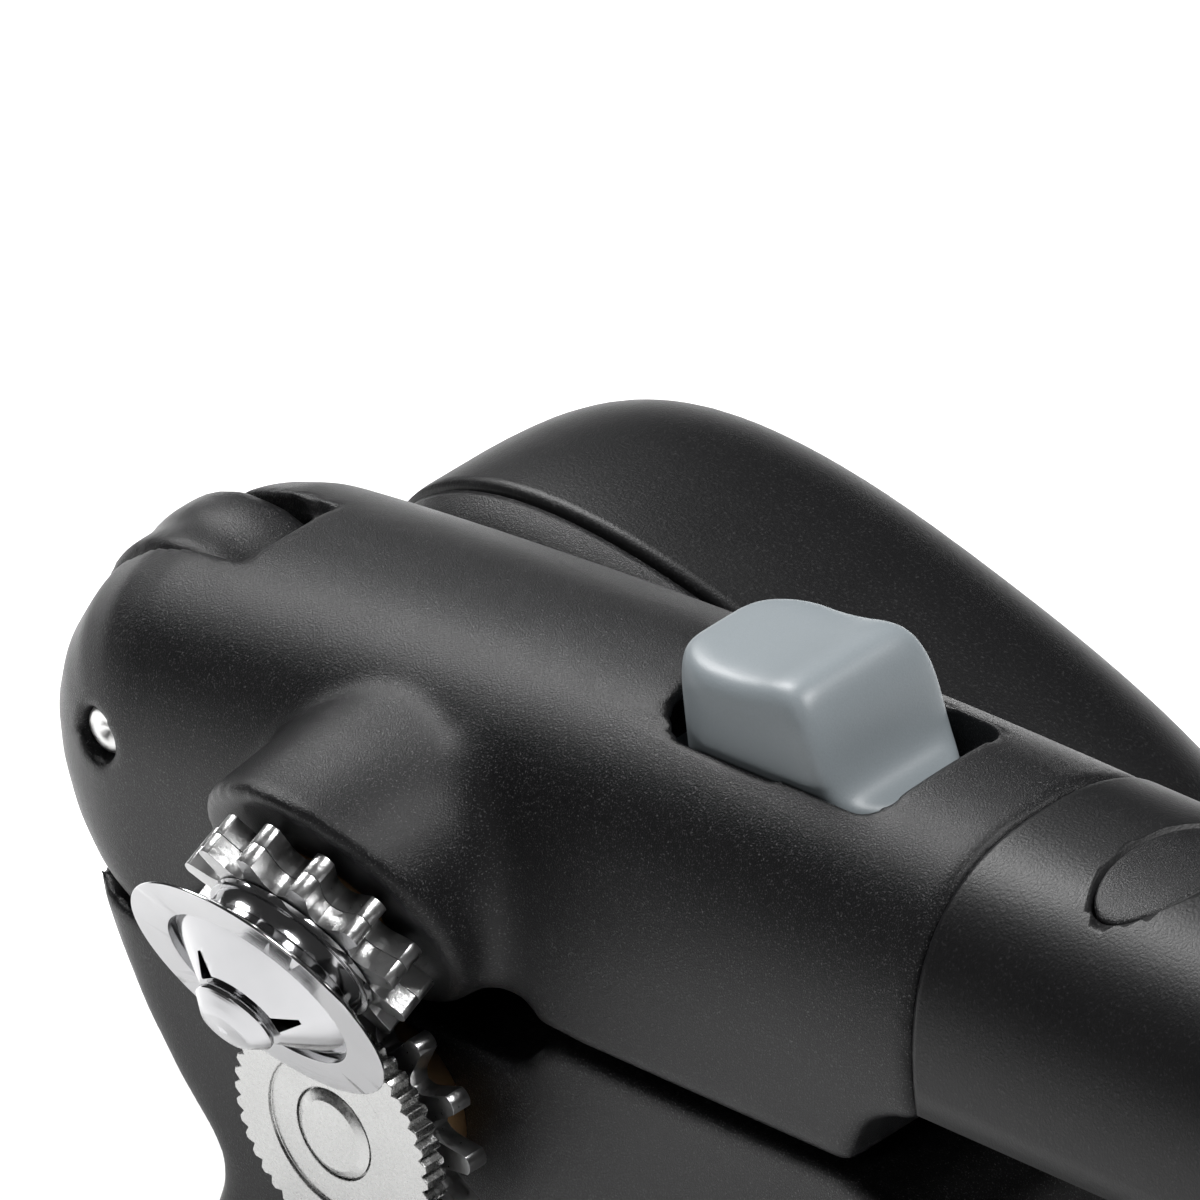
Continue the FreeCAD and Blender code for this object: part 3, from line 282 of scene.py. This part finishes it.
side_view = round_stretch(PIN_X, PIN_Z, 13.2, 260, 320, 16)
side_view += [(-13.0, 11.7), (12.0, THROAT), (13.4, 11.5), (14.6, 10.9), (15.6, SEAM), (44.2, SEAM)]
side_view += round_stretch(HOUSING_END, 9.6, 7.0, 168, 92, 10)
side_view += [(HOUSING_END, GRIP_FLAT)] + CREST[::-1]
side_view += [(-26.5, 30.0), (-30.5, 28.7), (-34.4, 26.0), (-37.2, 22.0), (-38.7, 17.5), (-38.8, 13.5),
              (-37.6, 9.8), (-34.8, 6.9)]
body_solid = new_object("body", lofted(side_view, across(48), rounded_nose(-24.0, 16.6)))
BOSS_RIM, BOSS_FACE, BOSS_RISE = 11.3, 8.4, 0.09     # radius, place along the axle, rise per mm back
rim_up = Vector((0, -math.sin(TILT), math.cos(TILT)))


def boss_ring(point, station):
    """A ring of the boss: square to the cutter axle, carried straight back and flared towards the handle."""
    back, scale, flare = station
    wide = point[0] * flare if point[0] > 0 else point[0]
    middle = cutter_place + (cutter_axis * BOSS_FACE + Vector((0, back, back * BOSS_RISE))) * MM
    return middle + (Vector((1, 0, 0)) * wide + rim_up * point[1]) * BOSS_RIM * scale * MM


full_turn = [(math.cos(2 * math.pi * i / ROUND), math.sin(2 * math.pi * i / ROUND)) for i in range(ROUND)]
boss = new_object("boss", lofted(full_turn, [
    (0, 0.965, 1.0), (0.15, 0.985, 1.0), (0.5, 1.0, 1.0), (3.5, 1.01, 1.02), (6.5, 1.02, 1.09),
    (9.0, 1.03, 1.2), (11.5, 1.04, 1.37), (13.5, 1.05, 1.58), (15.0, 1.06, 1.8)], boss_ring))
upper_shell = skinned(merged([body_solid, boss], "upper_shell"), 0.5)


def behind_rim(place):
    """True on the boss's flank and where it runs into the moulding, clear of the rim itself."""
    back = (place - cutter_place).dot(cutter_axis) / MM - BOSS_FACE
    off = math.hypot(place.x - cutter_place.x, (place - cutter_place).dot(rim_up)) / MM
    return back > 1.2 and 9.0 < off < 20.0 and place.y < drive_axis.y + 22 * MM


def broad_side(place):
    """True on the handle's side of the boss, where its root is a wide sweep."""
    return behind_rim(place) and place.x > cutter_place.x - 3 * MM


eased(upper_shell, 10, behind_rim)
eased(upper_shell, 34, broad_side)
eased(upper_shell, 4)
SLOT_FRONT, SLOT_REAR, SLOT_HALF = 20.0, 42.2, 6.75
WELL_FLOOR, LIP_UNDERSIDE, CLEAR_TOP, CLEAR_FLOOR = 27.0, 33.0, 45.0, -5.0
TONGUE_ROOM = 6.9             # half the width of the pocket that the button's rear tongue slides into
CHEEK_GAP = 4.45              # half the gap between the cheeks
cut_away(upper_shell, bay(SLOT_FRONT, 36.0, SLOT_HALF, WELL_FLOOR, CLEAR_TOP, 4.8))
cut_away(upper_shell, bay(27.0, SLOT_REAR, SLOT_HALF, WELL_FLOOR, CLEAR_TOP, 2.5))
cut_away(upper_shell, bay(19.0, 46.5, TONGUE_ROOM, WELL_FLOOR, LIP_UNDERSIDE))
cut_away(upper_shell, bay(-45.0, PIN_X, CHEEK_GAP, CLEAR_FLOOR, CLEAR_TOP))
cut_away(upper_shell, bay(PIN_X - 1, -17.0, CHEEK_GAP, CLEAR_FLOOR, 11.5))
cut_away(upper_shell, bay(PIN_X - 1, -21.2, CHEEK_GAP, 29.2, CLEAR_TOP))
cut_away(upper_shell, drum(at(PIN_X, MIDDLE, PIN_Z), (0, 1, 0), -CHEEK_GAP, CHEEK_GAP, 11.4))
cut_away(upper_shell, drum(at(PIN_X, 0, PIN_Z), (0, 1, 0), 0.0, 45.0, 1.95))
cut_away(upper_shell, drum(cutter_place, cutter_axis, 4.0, 14.0, 4.7))
skinned(upper_shell, 0.42)
eased(upper_shell, 3)


def texture(nodes, links, spot, grain, detail):
    """A noise texture over the piece, with marks about as wide as the grain in millimetres."""
    field = nodes.new("ShaderNodeTexNoise")
    field.inputs["Scale"].default_value = 1 / (grain * MM)
    field.inputs["Detail"].default_value = detail
    links.new(spot, field.inputs["Vector"])
    return field


ROUGHNESS_SWING = 0.09


def moulded(name, colour, roughness, grain, depth, gloss, mottle=0.35, painted_glint_strength=0.0):
    """Spark-eroded plastic: a fine pebbled skin, with pale flecks of painted glint in its colour, as strong
    as painted_glint_strength.
    """
    made = bpy.data.materials.new(name)
    made.use_nodes = True
    nodes, links = made.node_tree.nodes, made.node_tree.links
    skin = nodes["Principled BSDF"]
    skin.inputs["Specular IOR Level"].default_value = gloss
    spot = nodes.new("ShaderNodeTexCoord").outputs["Object"]
    pebble = texture(nodes, links, spot, grain, 3.0)
    pebble.inputs["Roughness"].default_value = 0.6
    cloud = texture(nodes, links, spot, 9, 4.0)
    shade = nodes.new("ShaderNodeMix")
    shade.data_type = "RGBA"
    shade.inputs["A"].default_value = (*[c * (1 - mottle) for c in colour], 1)
    shade.inputs["B"].default_value = (*[c * (1 + mottle) for c in colour], 1)
    links.new(pebble.outputs["Fac"], shade.inputs["Factor"])
    # Painted glint: where the grain stands highest, the base colour is pulled towards pale grey, so the
    # skin's sparkle highlights are painted into its colour.
    painted_glint_mask = nodes.new("ShaderNodeMapRange")
    painted_glint_mask.inputs["From Min"].default_value = 0.58
    painted_glint_mask.inputs["From Max"].default_value = 0.76
    painted_glint_mask.inputs["To Max"].default_value = painted_glint_strength
    links.new(pebble.outputs["Fac"], painted_glint_mask.inputs["Value"])
    colour_with_painted_glint = nodes.new("ShaderNodeMix")
    colour_with_painted_glint.data_type = "RGBA"
    colour_with_painted_glint.inputs["B"].default_value = (0.5, 0.5, 0.5, 1)
    links.new(painted_glint_mask.outputs["Result"], colour_with_painted_glint.inputs["Factor"])
    links.new(shade.outputs["Result"], colour_with_painted_glint.inputs["A"])
    links.new(colour_with_painted_glint.outputs["Result"], skin.inputs["Base Color"])
    rough = nodes.new("ShaderNodeMapRange")
    rough.inputs["To Min"].default_value = roughness - ROUGHNESS_SWING
    rough.inputs["To Max"].default_value = roughness + ROUGHNESS_SWING
    both = nodes.new("ShaderNodeMath")
    both.operation = "MULTIPLY_ADD"
    both.inputs[1].default_value = 0.5
    links.new(pebble.outputs["Fac"], both.inputs[0])
    half = nodes.new("ShaderNodeMath")
    half.operation = "MULTIPLY"
    half.inputs[1].default_value = 0.5
    links.new(cloud.outputs["Fac"], half.inputs[0])
    links.new(half.outputs[0], both.inputs[2])
    links.new(both.outputs[0], rough.inputs["Value"])
    links.new(rough.outputs["Result"], skin.inputs["Roughness"])
    bump = nodes.new("ShaderNodeBump")
    bump.inputs["Strength"].default_value = 1.0
    bump.inputs["Distance"].default_value = depth * MM
    links.new(pebble.outputs["Fac"], bump.inputs["Height"])
    links.new(bump.outputs["Normal"], skin.inputs["Normal"])
    return made


# Black nylon, with painted glint flecks in its colour.
eroded_nylon = moulded("eroded_nylon", (0.0035, 0.0035, 0.004), 0.36, 0.13, 0.05, gloss=0.2, painted_glint_strength=0.2)
upper_shell.data.materials.clear()
upper_shell.data.materials.append(eroded_nylon)
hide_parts("upper_housing")
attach(upper_shell, "upper_body")


# --- Hinge pin ---
# Plain steel pin through both cheeks and the ear between them, its ends just below the surface, chamfered
# and centre-marked on the lathe.
def turned(name, profile, place, direction):
    """A turned piece: a (radius, along) profile in millimetres spun about a direction from a place."""
    bm = bmesh.new()
    verts = [bm.verts.new((radius * MM, 0, along * MM)) for radius, along in profile]
    edges = [bm.edges.new(pair) for pair in zip(verts, verts[1:])]
    bmesh.ops.spin(bm, geom=verts + edges, cent=(0, 0, 0), axis=(0, 0, 1), angle=2 * math.pi, steps=ROUND,
                   use_merge=True)
    bmesh.ops.remove_doubles(bm, verts=bm.verts, dist=1e-7)
    bmesh.ops.recalc_face_normals(bm, faces=bm.faces)
    turn = Vector(direction).to_track_quat("Z", "Y").to_matrix().to_4x4()
    bmesh.ops.transform(bm, matrix=Matrix.Translation(place) @ turn, verts=bm.verts)
    return new_object(name, bm)


RING_PITCH = 0.12


def steel(name, colour, roughness, grain, depth, centre=None, axis=None, rings=0.0):
    """Bare or plated metal.  With a centre and an axis it also carries the fine rings that turning leaves."""
    made = bpy.data.materials.new(name)
    made.use_nodes = True
    nodes, links = made.node_tree.nodes, made.node_tree.links
    skin = nodes["Principled BSDF"]
    skin.inputs["Metallic"].default_value = 1.0
    spot = nodes.new("ShaderNodeTexCoord").outputs["Object"]
    pebble = texture(nodes, links, spot, grain, 4.0)
    stain = texture(nodes, links, spot, 4, 5.0)
    tone = nodes.new("ShaderNodeMix")
    tone.data_type = "RGBA"
    tone.inputs["A"].default_value = (*[c * 0.82 for c in colour], 1)
    tone.inputs["B"].default_value = (*colour, 1)
    links.new(stain.outputs["Fac"], tone.inputs["Factor"])
    links.new(tone.outputs["Result"], skin.inputs["Base Color"])
    rough = nodes.new("ShaderNodeMapRange")
    rough.inputs["To Min"].default_value = max(roughness - 0.08, 0.03)
    rough.inputs["To Max"].default_value = roughness + 0.1
    links.new(pebble.outputs["Fac"], rough.inputs["Value"])
    links.new(rough.outputs["Result"], skin.inputs["Roughness"])
    bump = nodes.new("ShaderNodeBump")
    bump.inputs["Distance"].default_value = depth * MM
    links.new(pebble.outputs["Fac"], bump.inputs["Height"])
    links.new(bump.outputs["Normal"], skin.inputs["Normal"])
    if centre is not None:
        local = nodes.new("ShaderNodeVectorMath")
        local.operation = "SUBTRACT"
        local.inputs[1].default_value = centre
        links.new(spot, local.inputs[0])
        radial = nodes.new("ShaderNodeVectorMath")
        radial.operation = "CROSS_PRODUCT"
        radial.inputs[1].default_value = axis
        links.new(local.outputs["Vector"], radial.inputs[0])
        reach = nodes.new("ShaderNodeVectorMath")
        reach.operation = "LENGTH"
        links.new(radial.outputs["Vector"], reach.inputs[0])
        groove = nodes.new("ShaderNodeTexNoise")
        groove.noise_dimensions = "1D"
        groove.inputs["Scale"].default_value = 1 / (RING_PITCH * MM)
        groove.inputs["Detail"].default_value = 5.0
        links.new(reach.outputs["Value"], groove.inputs["W"])
        turning = nodes.new("ShaderNodeBump")
        turning.inputs["Distance"].default_value = rings * MM
        links.new(groove.outputs["Fac"], turning.inputs["Height"])
        links.new(bump.outputs["Normal"], turning.inputs["Normal"])
        links.new(turning.outputs["Normal"], skin.inputs["Normal"])
    return made


pin_place = at(PIN_X, 0, PIN_Z)
near_end = [(0, 8.75), (0.25, 8.7), (0.5, 8.35), (1.45, 8.3), (1.75, 8.45), (1.9, 8.8)]
far_end = [(1.9, 34.6), (1.75, 34.95), (1.45, 35.1), (0.5, 35.05), (0, 34.7)]
hinge_pin = turned("hinge_pin_turned", near_end + far_end, pin_place, (0, 1, 0))
hinge_pin.data.materials.append(steel("ground_pin_steel", (0.8, 0.8, 0.79), 0.38, 0.3, 0.01,
                                      pin_place, (0, 1, 0), 0.004))
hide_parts("hinge_pin")
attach(hinge_pin, "upper_body")


# --- Soft grips ---
# Thermoplastic rubber sleeves moulded over the handle cores, flat where the two handles close on each
# other, round outside, with a fine leathery skin.
SHOULDER = 0.05               # share of the sleeve's height that its flat edge takes


def sleeve(name, start, end, flat_z, round_z, round_end):
    """A D-shaped sleeve along X, flat at flat_z and crowned to round_z, with its far end rounded off."""
    flat_side = [(0.93, -0.045), (0.6, -SHOULDER), (-0.6, -SHOULDER), (-0.93, -0.045)]

    def shape(point, station):
        x, scale = station
        middle_z = flat_z + (round_z - flat_z) * 0.45
        z = flat_z + (round_z - flat_z) * (point[1] * (1 - SHOULDER) + SHOULDER)
        return at(x, MIDDLE + HALF * point[0] * scale, middle_z + (z - middle_z) * scale)

    stations = [(start, 0.985), (start + 0.35, 1.0)]
    straight = end - round_end - start
    stations += [(start + straight * i / 160, 1.0) for i in range(1, 161)]
    for i in range(1, 13):
        lean = math.pi / 2 * i / 12
        stations.append((end - round_end + round_end * math.sin(lean), 0.35 + 0.65 * math.cos(lean)))
    return new_object(name, lofted(across(40) + flat_side, stations, shape))


HANDLE_END = 162.0
# Rubber, with faint painted glint flecks in its colour.
soft_rubber = moulded("soft_rubber", (0.0038, 0.0038, 0.0042), 0.42, 0.22, 0.03, gloss=0.2, painted_glint_strength=0.04)
upper_sleeve = sleeve("upper_sleeve", 51.62, HANDLE_END, GRIP_FLAT, CREST_REAR, 9.0)
cut_away(upper_sleeve, drum(at(151.0, MIDDLE, 0), (0, 0, 1), 0.0, 50.0, 3.5))


def crowned_oval(point, station):
    """An oval across the top of the sleeve, following its crown at a depth below it."""
    depth, scale = station
    side = BADGE_WIDE * point[1] * scale
    full = (1 - (abs(side) / HALF) ** PLUMP) ** (1 / PLUMP)
    crown_z = GRIP_FLAT + (CREST_REAR - GRIP_FLAT) * ((1 - SHOULDER) * full + SHOULDER)
    return at(BADGE_X + BADGE_LONG * point[0] * scale, MIDDLE + side, crown_z + depth)


BADGE_X, BADGE_LONG, BADGE_WIDE = 63.8, 3.8, 6.8
cut_away(upper_sleeve, new_object("badge_seat", lofted(
    full_turn, [(-0.7, 1.045), (3.0, 1.045)], crowned_oval)))
upper_sleeve.data.materials.append(soft_rubber)
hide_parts("upper_grip")
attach(upper_sleeve, "upper_body")
BASE = -27.0
lower_sleeve = sleeve("lower_sleeve", 60.1, HANDLE_END, -6.85, BASE, 9.0)
lower_sleeve.data.materials.append(soft_rubber)
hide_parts("lower_grip")
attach(lower_sleeve, "lower_body")


# --- Badge ---
# A small blank oval of hard nylon across the top of the upper sleeve, snapped into a seat that leaves a
# fine groove round it.
badge = new_object("crowned_badge", lofted(
    full_turn, [(-0.68, 0.97), (-0.35, 1.0), (-0.22, 0.985), (-0.15, 0.95), (-0.12, 0.9), (-0.12, 0.75),
                (-0.12, 0.6), (-0.12, 0.45), (-0.12, 0.3), (-0.12, 0.15), (-0.12, 0.02)], crowned_oval))
badge.data.materials.append(eroded_nylon)
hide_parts("grip_badge")
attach(badge, "upper_body")


# --- Lower housing ---
# The second nylon moulding: an ear between the cheeks of the upper one, a throat for the can's rim and
# a closed box for the drive shaft's bushes, open below under a cover.
LOWER_SEAM = 9.6
CHIN_X, CHIN_Z = -14.0, -20.0        # where the outline starts to draw in towards the nose and the base
lower_view = [(-34.1, 5.9), (-32.4, 1.4), (-30.0, -3.3), (-26.6, -7.8), (-23.1, -11.3), (-22.0, -13.2),
              (-22.4, -15.6), (-24.4, -19.0), (-23.0, -23.4), (-19.0, -26.2), (CHIN_X, BASE),
              (60.0, BASE), (60.0, -6.9), (57.5, -6.0), (54.8, -3.2), (53.4, 0.6), (51.0, 5.4), (47.8, 8.4),
              (44.0, LOWER_SEAM), (16.5, LOWER_SEAM), (14.5, 9.0), (13.0, 7.4), (11.5, 6.6), (CHIN_X, 6.6)]
lower_view += round_stretch(PIN_X, PIN_Z, 13.9, 310, 246, 14)


def lower_shape(point, station):
    """Draws the nose and the base in as the outline comes near the sides, less than on the upper housing."""
    x, z = point
    side, full = station
    plan = full ** 0.8
    x = x if x > CHIN_X else CHIN_X + (x - CHIN_X) * (0.55 + 0.45 * plan)
    z = z if z > CHIN_Z else CHIN_Z + (z - CHIN_Z) * (0.3 + 0.7 * plan)
    return at(x, MIDDLE + HALF * side, z)


EAR_HALF = 4.1
ear_near = drum(at(PIN_X, MIDDLE, PIN_Z), (0, 1, 0), -EAR_HALF, 0.6, 10.2)
ear_far = drum(at(PIN_X, MIDDLE, PIN_Z), (0, 1, 0), 0.4, EAR_HALF, 10.7)
ear_neck = bay(-33.0, -20.0, EAR_HALF, 2.0, 11.0)
lower_solid = new_object("lower_solid", lofted(lower_view, across(40), lower_shape))
lower_shell = skinned(merged([lower_solid, ear_near, ear_far, ear_neck], "lower_body_shell"), 0.45)
eased(lower_shell, 4)
cut_away(lower_shell, block((-12.0, 9.4, -28.0), (44.0, 34.0, 3.5), 2.0))
cut_away(lower_shell, drum(at(0, 0, 0), (0, 1, 0), 0.0, 45.0, 5.05))
skinned(lower_shell, 0.52)
eased(lower_shell, 3)
lower_shell.data.materials.clear()
lower_shell.data.materials.append(eroded_nylon)
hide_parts("lower_housing")
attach(lower_shell, "lower_body")


# --- Turning knob ---
# A hard nylon base under a thick soft shell, a long oval that fills the palm.  A cap over the fixing screw
# sits in a seat in the middle of its face.
KNOB_BACK, KNOB_SEAM, KNOB_FACE = 39.6, 43.1, 67.8
KNOB_LONG, KNOB_HIGH = 38.6, 19.6
KNOB_LEAN = math.radians(17.5)
KNOB_SQUARENESS, KNOB_PLUMP = 2.46, 3.4


def lens(steps):
    """The knob's outline about its own middle: a squarish oval."""
    turns = [2 * math.pi * i / steps for i in range(steps)]
    return [(math.copysign(abs(math.cos(turn)) ** (2 / KNOB_SQUARENESS), math.cos(turn)),
             math.copysign(abs(math.sin(turn)) ** (2 / KNOB_SQUARENESS), math.sin(turn))) for turn in turns]


def knob_place(point, station):
    """A point of the knob's outline at a station along the drive axis, leaned and scaled."""
    along, scale = station
    long_side = (KNOB_LONG - KNOB_HIGH * (1 - scale)) * point[0]
    high_side = KNOB_HIGH * scale * point[1]
    x = long_side * math.cos(KNOB_LEAN) + high_side * math.sin(KNOB_LEAN)
    z = -long_side * math.sin(KNOB_LEAN) + high_side * math.cos(KNOB_LEAN)
    return at(x, along, z)


def crown(low, high, plump, steps):
    """Stations of a dome from low to high, each with how full the outline is there."""
    made = []
    for i in range(1, steps + 1):
        turn = math.pi / 2 * i / steps
        made.append((low + (high - low) * math.sin(turn) ** (2 / plump), math.cos(turn) ** (2 / plump)))
    return made


soft_edge = [(KNOB_SEAM + 0.05, 0.97), (KNOB_SEAM + 0.3, 0.995), (KNOB_SEAM + 1.0, 1.0)]
soft_dome = [(y, max(full, 0.03)) for y, full in crown(KNOB_SEAM + 2.0, KNOB_FACE, KNOB_PLUMP, 24)]
knob_soft = new_object("knob_soft_shell", lofted(lens(ROUND), soft_edge + soft_dome, knob_place))
cap_low, cap_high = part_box("knob_cap")
cap_seat = (cap_high.x - cap_low.x) / 2 / MM + 0.15
cut_away(knob_soft, drum(at(0, 0, 0), (0, 1, 0), KNOB_FACE - 2.5, KNOB_FACE + 2.0, cap_seat))
knob_soft.data.materials.append(soft_rubber)
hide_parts("knob_shell")
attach(knob_soft, "drive")
hard_edge = [(KNOB_BACK, 0.86), (KNOB_BACK + 0.4, 0.885), (KNOB_SEAM - 0.8, 0.965),
             (KNOB_SEAM - 0.25, 0.97), (KNOB_SEAM, 0.955)]
knob_base = new_object("knob_hard_base", lofted(lens(ROUND), hard_edge, knob_place))
knob_base.data.materials.append(eroded_nylon)
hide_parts("knob_core")
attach(knob_base, "drive")


# --- Release button ---
# Grey acetal thumb button: a pad that rises to a rounded ridge, a steep back that the thumb pulls, and a
# thin tongue behind it that slides under the rear lip of the slot.
def along_curve(knots, x):
    """A smooth curve through (x, z) knots."""
    last = len(knots) - 1
    slopes = [(knots[min(i + 1, last)][1] - knots[max(i - 1, 0)][1])
              / (knots[min(i + 1, last)][0] - knots[max(i - 1, 0)][0]) for i in range(last + 1)]
    for i in range(last):
        x0, z0 = knots[i]
        x1, z1 = knots[i + 1]
        if x <= x1:
            t = (x - x0) / (x1 - x0)
            return ((2 * t ** 3 - 3 * t ** 2 + 1) * z0 + (t ** 3 - 2 * t ** 2 + t) * slopes[i] * (x1 - x0)
                    + (3 * t ** 2 - 2 * t ** 3) * z1 + (t ** 3 - t ** 2) * slopes[i + 1] * (x1 - x0))
    return knots[-1][1]


BUTTON_FRONT, BUTTON_REAR, BUTTON_FOOT = 20.5, 40.6, 29.8
BUTTON_HALF, BUTTON_CORNER, FRONT_ROUND = 6.45, 5.8, 1.6
PAD = [(BUTTON_FRONT, 38.5), (22.5, 38.9), (25.0, 39.05), (27.5, 39.15), (30.0, 39.55)]
RIDGE = [(32.6, 40.15), (34.2, 40.05), (35.4, 39.0), (36.2, 37.2), (36.8, 34.8), (37.6, 32.9)]
TONGUE = [(38.8, 32.1), (BUTTON_REAR, 31.8)]
BUTTON_SQUARENESS = 8.0


def button_section(point, x):
    """A point of the button's section at x: narrow at both ends and as high as the thumb curve."""
    side, full = point
    near_end = min(x - BUTTON_FRONT, BUTTON_REAR - x)
    pinch = max(BUTTON_CORNER - near_end, 0.0)
    half = BUTTON_HALF - BUTTON_CORNER + math.sqrt(BUTTON_CORNER ** 2 - pinch ** 2)
    lip = max(FRONT_ROUND - (x - BUTTON_FRONT), 0.0)
    top = along_curve(PAD + RIDGE + TONGUE, x) - (FRONT_ROUND - math.sqrt(FRONT_ROUND ** 2 - lip ** 2))
    return at(x, MIDDLE + half * side, BUTTON_FOOT + (top - BUTTON_FOOT) * full)


button_stations = [BUTTON_FRONT + 0.02, BUTTON_FRONT + 0.15, BUTTON_FRONT + 0.4, BUTTON_FRONT + 0.7]
button_stations += [BUTTON_FRONT + 1 + i * 0.3 for i in range(63)] + [BUTTON_REAR - 0.3, BUTTON_REAR - 0.05]
thumb_button = new_object("thumb_button", lofted(across(60, BUTTON_SQUARENESS), button_stations,
                                                 button_section))
skinned(thumb_button, 0.25)
eased(thumb_button, 12)
button_grey = moulded("button_grey", (0.17, 0.192, 0.205), 0.42, 0.14, 0.012, gloss=0.35, mottle=0.1)
thumb_button.data.materials.clear()
thumb_button.data.materials.append(button_grey)
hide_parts("release_button")
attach(thumb_button, "release_button")


# --- Wheels, gears and small metal parts ---
# Stampings and turned steel with the marks of their making: a polished cutting wheel, zinc-plated gears,
# blued springs and oil-dark sintered bushes.  Tumbling has broken their sharp edges.
EDGE_BREAK = {"mirror_steel": 0.05, "zinc_steel": 0.11, "satin_steel": 0.08, "dark_spring_steel": 0.05,
              "sintered_bronze": 0.08, "spring_steel": 0.03}
finishes = {
    "mirror_steel": steel("mirror_chrome", (0.44, 0.44, 0.45), 0.1, 3.0, 0.004,
                          cutter_place, cutter_axis, 0.004),
    "zinc_steel": steel("zinc_steel", (0.56, 0.56, 0.56), 0.30, 0.35, 0.03),
    "dark_spring_steel": steel("blued_steel", (0.12, 0.12, 0.13), 0.35, 0.5, 0.01),
    "sintered_bronze": steel("sintered_bronze", (0.45, 0.28, 0.14), 0.45, 0.15, 0.02),
    "satin_steel": steel("satin_steel", (0.42, 0.42, 0.415), 0.26, 0.3, 0.012),
    "spring_steel": steel("spring_steel", (0.5, 0.5, 0.5), 0.2, 0.5, 0.005),
    "black_plastic": eroded_nylon,
    "black_rubber": soft_rubber,
    "grey_plastic": button_grey,
}
for entry in frame["record"]["subparts"]:
    node = frame["nodes"][entry["node"]]
    slot = entry["material_slot"]
    node.data.materials.clear()
    node.data.materials.append(finishes[slot])
    if slot in EDGE_BREAK:
        weld = node.modifiers.new("weld", "WELD")
        weld.merge_threshold = MM / 1000
        broken = node.modifiers.new("broken_edges", "BEVEL")
        broken.limit_method = "ANGLE"
        broken.angle_limit = math.radians(35)
        broken.width = EDGE_BREAK[slot] * MM
        broken.segments = 2
